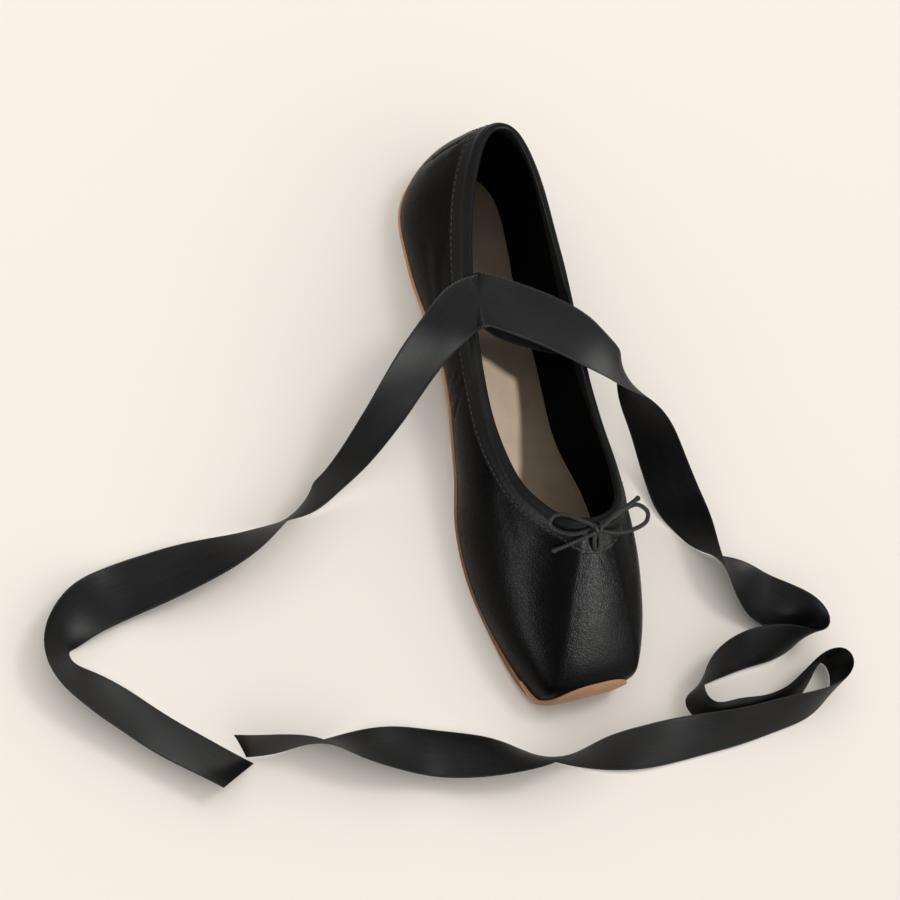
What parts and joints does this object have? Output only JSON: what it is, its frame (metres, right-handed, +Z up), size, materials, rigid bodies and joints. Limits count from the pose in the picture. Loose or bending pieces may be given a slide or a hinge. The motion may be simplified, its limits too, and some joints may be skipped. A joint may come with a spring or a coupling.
{
  "type": "pointe shoe",
  "caption": "Black satin pointe shoe on a tan suede sole, with a hollow upper open at the collar, a drawstring bow and loose ribbons.",
  "frame": {"origin": "on the floor, under the middle of the shoe without its ribbons and bow", "axes": "+X to the toe, +Y to the wearer's left, +Z up"},
  "size_m": [0.2773, 0.3528, 0.0653],
  "materials": {
    "suede_sole": "napped suede",
    "satin_upper": "smooth satin, stiffened",
    "insole_sock": "matte woven sock lining",
    "satin_ribbon": "satin ribbon with woven edges",
    "drawstring": "matte cotton cord"
  },
  "bodies": {
    "root": {"outsole": "suede_sole", "upper": "satin_upper", "insole": "insole_sock", "ribbon_left": "satin_ribbon", "ribbon_right": "satin_ribbon", "bow_knot": "drawstring", "bow_loop_right": "drawstring", "bow_loop_left": "drawstring", "bow_end_right": "drawstring", "bow_end_left": "drawstring"}
  },
  "joints": []
}
